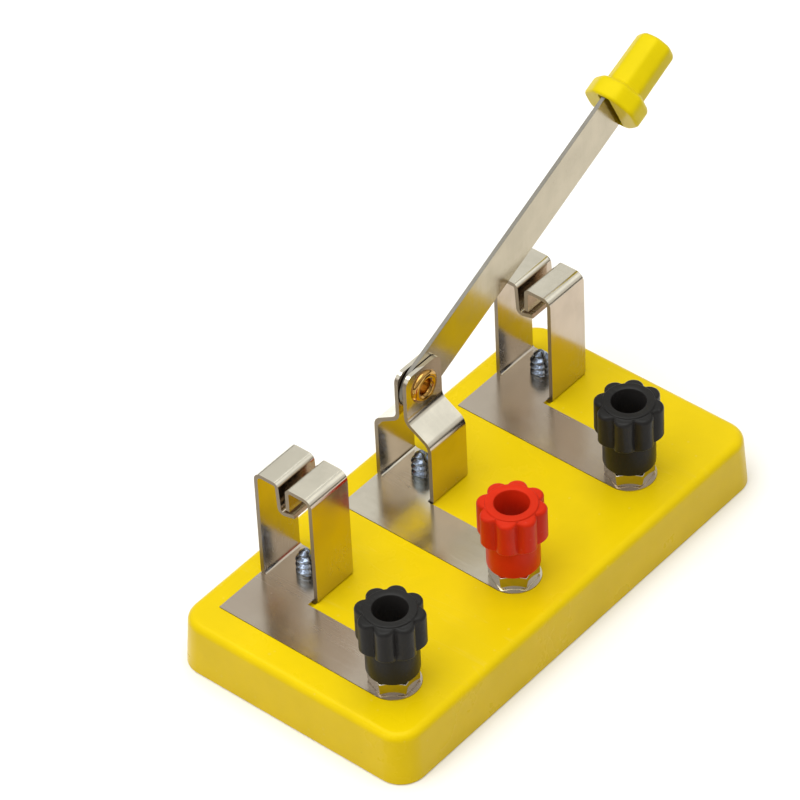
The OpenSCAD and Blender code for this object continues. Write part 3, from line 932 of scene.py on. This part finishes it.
class SWITCH_OT_screws(bpy.types.Operator):
    """Makes the three plate screws, driven up from below."""

    bl_idname = "switch.screws"
    bl_label = "Plate screws"

    def execute(self, context):
        columns = 48
        directions = whole_turn(columns)
        paint = finish_named("blue_zinc", metal, (0.36, 0.43, 0.56, 1), rough=0.12,
                             shade=0.5, grain=0.2)
        for side in SIDES:
            low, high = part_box(side + "_screw")
            centre = middle_of(side + "_screw")
            radius, height = 3.45 * MM, 2 * MM
            seat = low.z + height
            dome = chain((0, 0), arc((radius - 0.9 * MM, 0.9 * MM), 0.9 * MM, -90, 0, 9),
                         (radius, height), (1.5 * MM, height))
            head = turned(stretch(dome, 0.12 * MM), directions)
            x, y = head[..., 0], head[..., 1]
            arm = np.minimum(np.abs(x), np.abs(y))
            span = np.maximum(np.abs(x), np.abs(y))
            cross = (1 / (1 + np.exp((arm - 0.42 * MM) / (0.05 * MM)))
                     / (1 + np.exp((span - 1.8 * MM) / (0.08 * MM))))
            face = (head[..., 2] < 0.5 * height)
            head[..., 2] += 1.2 * MM * cross * face
            head[..., 2] += low.z
            body = threaded(seat, high.z, 1.95 * MM, 1.42 * MM, 1.3 * MM, columns, 14,
                            tip=2.2 * MM)
            points = np.concatenate([head, body, pole(high.z, columns)])
            mesh = moved(skin(points), Matrix.Translation((centre.x, centre.y, 0)))
            put(side + "_plate_screw", mesh, paint, "switch_base", side + "_screw",
                crease=50)
        return {"FINISHED"}


class SWITCH_OT_studs(bpy.types.Operator):
    """Makes the three threaded studs."""

    bl_idname = "switch.studs"
    bl_label = "Studs"

    def execute(self, context):
        radius = context.scene.knife_switch.post.stud / 2
        paint = finish_named("nickel_stud", metal, (0.66, 0.62, 0.54, 1), rough=0.18,
                             shade=0.7, grain=0.2)
        for side in SIDES:
            low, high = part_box(side + "_stud")
            post = post_at(side)
            body = threaded(low.z + 0.4 * MM, high.z - 0.4 * MM, radius,
                            radius - 0.45 * MM, 0.8 * MM, 40, 8)
            ends = [turned(np.array([(r, low.z)]), whole_turn(40))
                    for r in (0.0, radius - 0.75 * MM)]
            tops = [turned(np.array([(r, high.z)]), whole_turn(40))
                    for r in (radius - 0.75 * MM, 0.0)]
            mesh = skin(np.concatenate(ends + [body] + tops))
            put(side + "_threaded_stud", moved(mesh, Matrix.Translation((post[0], post[1], 0))),
                paint, "switch_base", side + "_stud", crease=50)
        return {"FINISHED"}


def hex_nut(across, height, bore, turn):
    """Nut: in direction f the side stands at the hexagon's own radius, and the two
    faces slope away outside a circle just inside the flats."""
    directions = whole_turn(144)
    faces = whole_turn(6)
    lean = np.maximum(np.cos(directions[:, None] - faces), 0)
    side = across / 2 * (lean ** 90).sum(1) ** (-1 / 90)
    crown = 0.96 * across / 2
    drop = (side - crown) * math.tan(math.radians(30))
    rows = []
    for r, z in ((bore, 0.3 * MM), (bore + 0.3 * MM, 0.0)):
        rows.append((np.full(144, r), np.full(144, z)))
    rows.append((np.full(144, crown), np.zeros(144)))
    rows.append((side, drop))
    rows.append((side, height - drop))
    rows.append((np.full(144, crown), np.full(144, height)))
    for r, z in ((bore + 0.3 * MM, height), (bore, height - 0.3 * MM)):
        rows.append((np.full(144, r), np.full(144, z)))
    radius = np.array([row[0] for row in rows])
    level = np.array([row[1] for row in rows])
    points = np.stack([radius * np.cos(directions), radius * np.sin(directions), level], -1)
    mesh = skin(points, ring=True)
    return moved(mesh, Matrix.Rotation(turn, 4, "Z"))


class SWITCH_OT_nuts(bpy.types.Operator):
    """Makes the nuts above and below the base."""

    bl_idname = "switch.nuts"
    bl_label = "Nuts"

    def execute(self, context):
        post_sizes = context.scene.knife_switch.post
        # Painted shade: the nuts' upright facets are multiplied by (0.5, 0.47, 0.45).
        paint = finish_named("bright_nickel", metal, (0.92, 0.88, 0.82, 1), rough=0.04,
                             shade=0.8, grain=0.2, upright=(0.5, 0.47, 0.45))
        for side in SIDES:
            post = post_at(side)
            for level in ("top", "bottom"):
                node = "{}_{}_nut".format(side, level)
                low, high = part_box(node)
                mesh = hex_nut(post_sizes.nut, high.z - low.z, post_sizes.stud / 2 + 0.05 * MM,
                               math.radians(38))
                mesh = moved(mesh, Matrix.Translation((post[0], post[1], low.z)))
                put(node + "_hexagon", mesh, paint, "switch_base", node,
                    crease=25, bevel=0.08 * MM)
        return {"FINISHED"}


class SWITCH_OT_washers(bpy.types.Operator):
    """Makes the washers under the base."""

    bl_idname = "switch.washers"
    bl_label = "Washers"

    def execute(self, context):
        paint = finish_named("bright_nickel_washer", metal, (0.74, 0.72, 0.67, 1), rough=0.12,
                             shade=0.75, grain=0.5)
        for side in SIDES:
            low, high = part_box(side + "_washer")
            post = post_at(side)
            outer, inner, soft = (high.x - low.x) / 2, 2.65 * MM, 0.15 * MM
            profile = chain((inner, high.z - soft), (inner, low.z), (outer - soft, low.z),
                            arc((outer - soft, high.z - 2 * soft), 2 * soft, 0, 90, 6) - (soft, 0),
                            (inner + soft, high.z))
            mesh = skin(turned(profile, whole_turn(72)), ring=True)
            put(side + "_flat_washer", moved(mesh, Matrix.Translation((post[0], post[1], 0))),
                paint, "switch_base", side + "_washer")
        return {"FINISHED"}


class SWITCH_OT_inserts(bpy.types.Operator):
    """Makes the brass inserts that turn with the knobs."""

    bl_idname = "switch.inserts"
    bl_label = "Inserts"

    def execute(self, context):
        paint = finish_named("insert_brass_turned", metal, (0.70, 0.48, 0.18, 1), rough=0.2,
                             shade=0.7, grain=0.4)
        for side in SIDES:
            low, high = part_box(side + "_insert")
            post = post_at(side)
            outer, bore, cut = (high.x - low.x) / 2, 2.55 * MM, 0.25 * MM
            profile = chain((bore, low.z + cut), (bore + cut, low.z), (outer - cut, low.z),
                            (outer, low.z + cut), (outer, high.z - cut), (outer - cut, high.z),
                            (bore + cut, high.z), (bore, high.z - cut))
            mesh = skin(turned(stretch(profile, 0.8 * MM), whole_turn(64)), ring=True)
            put(side + "_turned_insert", moved(mesh, Matrix.Translation((post[0], post[1], 0))),
                paint, side + "_thread", side + "_insert", crease=25)
        return {"FINISHED"}


def soft_least(first, second, blend):
    """The lesser of two fields, with a smooth change from one to the other."""
    share = np.clip(0.5 + 0.5 * (second - first) / blend, 0, 1)
    return second + (first - second) * share - blend * share * (1 - share)


def knob_points(sizes, height):
    """Knob: in direction f the lobes reach the far side of a small circle set out
    along the nearest lobe, or the groove circle where that is further. Heights
    limit that radius by a slope under the lobes and another over them."""
    directions = whole_turn(288, math.radians(27))
    skirt, over, lobe = sizes.skirt / 2, sizes.over_lobes / 2, 1.85 * MM
    groove, blend = 5.1 * MM, 0.45 * MM
    share = np.pi / sizes.lobes
    aside = (directions - math.radians(27) + share) % (2 * share) - share
    out = over - lobe
    reach = out * np.cos(aside) + np.sqrt(np.maximum(lobe ** 2 - (out * np.sin(aside)) ** 2, 0))
    reach = -soft_least(-reach, np.full_like(reach, -groove), blend)
    step, top = 6 * MM, height - 0.3 * MM
    flat = np.ones_like(directions)
    socket = sizes.socket / 2
    rows = []
    for r, z in chain((2.8 * MM, 0.45 * MM), (2.8 * MM, 0), (skirt - 0.25 * MM, 0),
                      arc((skirt - 0.25 * MM, 0.25 * MM), 0.25 * MM, -60, 0, 4),
                      (skirt, 3 * MM), (skirt, step - 0.15 * MM)):
        rows.append((r * flat, z))
    for z in np.linspace(step, step + 1.1 * MM, 9):
        limit = skirt + (z - step) * 1.75
        rows.append((np.maximum(soft_least(reach, limit * flat, 0.3 * MM), skirt * flat), z))
    for z in np.linspace(step + 1.5 * MM, top - 0.9 * MM, 6):
        rows.append((reach, z))
    for turn in np.radians(np.linspace(0, 90, 8)):
        rows.append((reach - 0.7 * MM * (1 - np.cos(turn)), top - 0.7 * MM * (1 - np.sin(turn))))
    rim = skirt - 0.05 * MM
    for r, z in chain((rim + 0.1 * MM, top), arc((rim - 0.25 * MM, height - 0.25 * MM),
                                                 0.25 * MM, 0, 90, 5),
                      (socket + 0.42 * MM, height), (socket + 0.12 * MM, height - 0.12 * MM),
                      (socket, height - 0.4 * MM), (socket, 9 * MM),
                      (socket, 5.85 * MM), (3.55 * MM, 5.85 * MM), (3.55 * MM, 0.45 * MM)):
        rows.append((r * flat, z))
    radius = np.array([row[0] for row in rows])
    level = np.array([row[1] for row in rows])[:, None] * flat
    return np.stack([radius * np.cos(directions), radius * np.sin(directions), level], -1)


class SWITCH_OT_knobs(bpy.types.Operator):
    """Makes the three lobed knobs."""

    bl_idname = "switch.knobs"
    bl_label = "Knobs"

    def execute(self, context):
        sizes = context.scene.knife_switch.post
        # Painted shade: both knob finishes keep the default side shade of 0.9 on their upright
        # faces.
        black = finish_named("black_knob_plastic", plastic, sizes.black, rough=0.30,
                             shade=0.7, grain=0.05, dust=0.02, gloss_level=0.13)
        red = finish_named("red_knob_plastic", plastic, sizes.red, rough=0.33,
                           shade=0.85, grain=0.05, dust=0.03,
                           glint=(1, 0.4, 0.3), gloss_level=0.2)
        for side in SIDES:
            low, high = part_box(side + "_knob")
            post = post_at(side)
            mesh = skin(knob_points(sizes, high.z - low.z), ring=True)
            mesh = moved(mesh, Matrix.Translation((post[0], post[1], low.z)))
            middle = side == "middle"
            put(side + "_lobed_knob", mesh, red if middle else black, side + "_cap",
                side + "_knob", crease=38)
        return {"FINISHED"}


# ---------------------------------------------------------------- stage

def area_light(name, energy, size, at, target, colour=(1, 1, 1)):
    """A soft square light that faces its target."""
    data = bpy.data.lights.new(name, "AREA")
    data.energy, data.size, data.color = energy, size, colour
    lamp = bpy.data.objects.new(name, data)
    bpy.context.scene.collection.objects.link(lamp)
    lamp.location = at
    lamp.rotation_euler = (Vector(target) - Vector(at)).to_track_quat("-Z", "Y").to_euler()
    return lamp


class SWITCH_OT_stage(bpy.types.Operator):
    """Makes the floor, the lights and the camera."""

    bl_idname = "switch.stage"
    bl_label = "Stage"

    def execute(self, context):
        scene = context.scene
        settings = scene.knife_switch.stage
        edge = rounded_outline(3.0, 3.0, 1.0)
        mesh = bpy.data.meshes.new("floor")
        points = np.column_stack([edge, np.full(len(edge), -0.02 * MM)])
        mesh.from_pydata(points.tolist(), [], [list(range(len(edge)))])
        floor = bpy.data.objects.new("floor", mesh)
        scene.collection.objects.link(floor)
        paint, tree, shader, where, _ = new_finish("pale_floor")
        paper = mixed(tree, noise(tree, where, 3.0), tuple(settings.floor),
                      tint(settings.floor, 0.985))
        bounced = tree.nodes.new("ShaderNodeLightPath").outputs["Is Diffuse Ray"]
        bounce_share = 0.66
        tree.links.new(mixed(tree, bounced, paper, tint(settings.floor, bounce_share)),
                       shader.inputs["Base Color"])
        shader.inputs["Roughness"].default_value = 0.9
        shader.inputs["Specular IOR Level"].default_value = 0.1
        mesh.materials.append(paint)

        world = bpy.data.worlds.new("soft_surroundings")
        world.use_nodes = True
        around = world.node_tree
        back = around.nodes["Background"]
        aim = around.nodes.new("ShaderNodeTexCoord").outputs["Generated"]
        level = add(around, "ShaderNodeSeparateXYZ", {"Vector": aim}).outputs["Z"]
        back.inputs["Color"].default_value = (1.0, 0.965, 0.90, 1)
        around.links.new(ramp(around, level, 0.02, 0.34, 0.04, settings.around),
                         back.inputs["Strength"])
        scene.world = world
        heart = (0, 0, 0.02)
        area_light("overhead", settings.key, 1.3, (-0.15, 0.1, 1.25), heart, (0.98, 1.0, 1.0))
        area_light("left_side", settings.key * 0.14, 0.6, (-1.0, 0.25, 0.55), heart)
        area_light("front_right", settings.key * 0.012, 0.45, (0.57, -0.44, 0.78), heart)
        scene.view_settings.view_transform = "Standard"
        scene.view_settings.look = "None"

        data = bpy.data.cameras.new("view")
        data.lens, data.sensor_width = settings.lens, 36.0
        data.clip_start, data.clip_end = 0.01, 20.0
        camera = bpy.data.objects.new("view", data)
        scene.collection.objects.link(camera)
        spot = Vector((-0.51008, -0.44134, 0.65253))
        ahead = (Vector((0.00774, 0.02194, 0.02249)) - spot).normalized()
        aside = ahead.cross(Vector((0, 0, 1))).normalized()
        above = aside.cross(ahead)
        tilt = math.radians(3.0)
        lean_up = above * math.cos(tilt) + aside * math.sin(tilt)
        lean_side = ahead.cross(lean_up)
        camera.matrix_world = Matrix.Translation(spot) @ Matrix(
            (lean_side, lean_up, -ahead)).transposed().to_4x4()
        scene.camera = camera
        return {"FINISHED"}


# ---------------------------------------------------------------- add-on

PIECES = (SWITCH_OT_base, SWITCH_OT_clips, SWITCH_OT_bracket, SWITCH_OT_rivet,
          SWITCH_OT_blade, SWITCH_OT_handle, SWITCH_OT_screws, SWITCH_OT_studs,
          SWITCH_OT_nuts, SWITCH_OT_washers, SWITCH_OT_inserts, SWITCH_OT_knobs,
          SWITCH_OT_stage)


class SWITCH_PT_pieces(bpy.types.Panel):
    """Lists the pieces and their settings."""

    bl_idname = "SWITCH_PT_pieces"
    bl_label = "Knife switch"
    bl_space_type = "VIEW_3D"
    bl_region_type = "UI"
    bl_category = "Knife switch"

    def draw(self, context):
        settings = context.scene.knife_switch
        for part in ("base", "sheet", "lever", "post", "stage"):
            section = self.layout.box()
            section.label(text=part.capitalize())
            group = getattr(settings, part)
            for key in group.__annotations__:
                section.prop(group, key)
        for piece in PIECES:
            self.layout.operator(piece.bl_idname)


CLASSES = (BaseSettings, SheetSettings, LeverSettings, PostSettings, StageSettings,
           SwitchSettings) + PIECES + (SWITCH_PT_pieces,)


def register():
    """Makes the settings, the operators and the panel known to Blender."""
    for item in CLASSES:
        bpy.utils.register_class(item)
    bpy.types.Scene.knife_switch = PointerProperty(type=SwitchSettings)


def unregister():
    """Takes them away again."""
    del bpy.types.Scene.knife_switch
    for item in reversed(CLASSES):
        bpy.utils.unregister_class(item)


def main():
    """Builds every piece and the stage."""
    register()
    for piece in PIECES:
        name = piece.bl_idname.split(".")[1]
        getattr(bpy.ops.switch, name)()


if __name__ == "__main__":
    main()
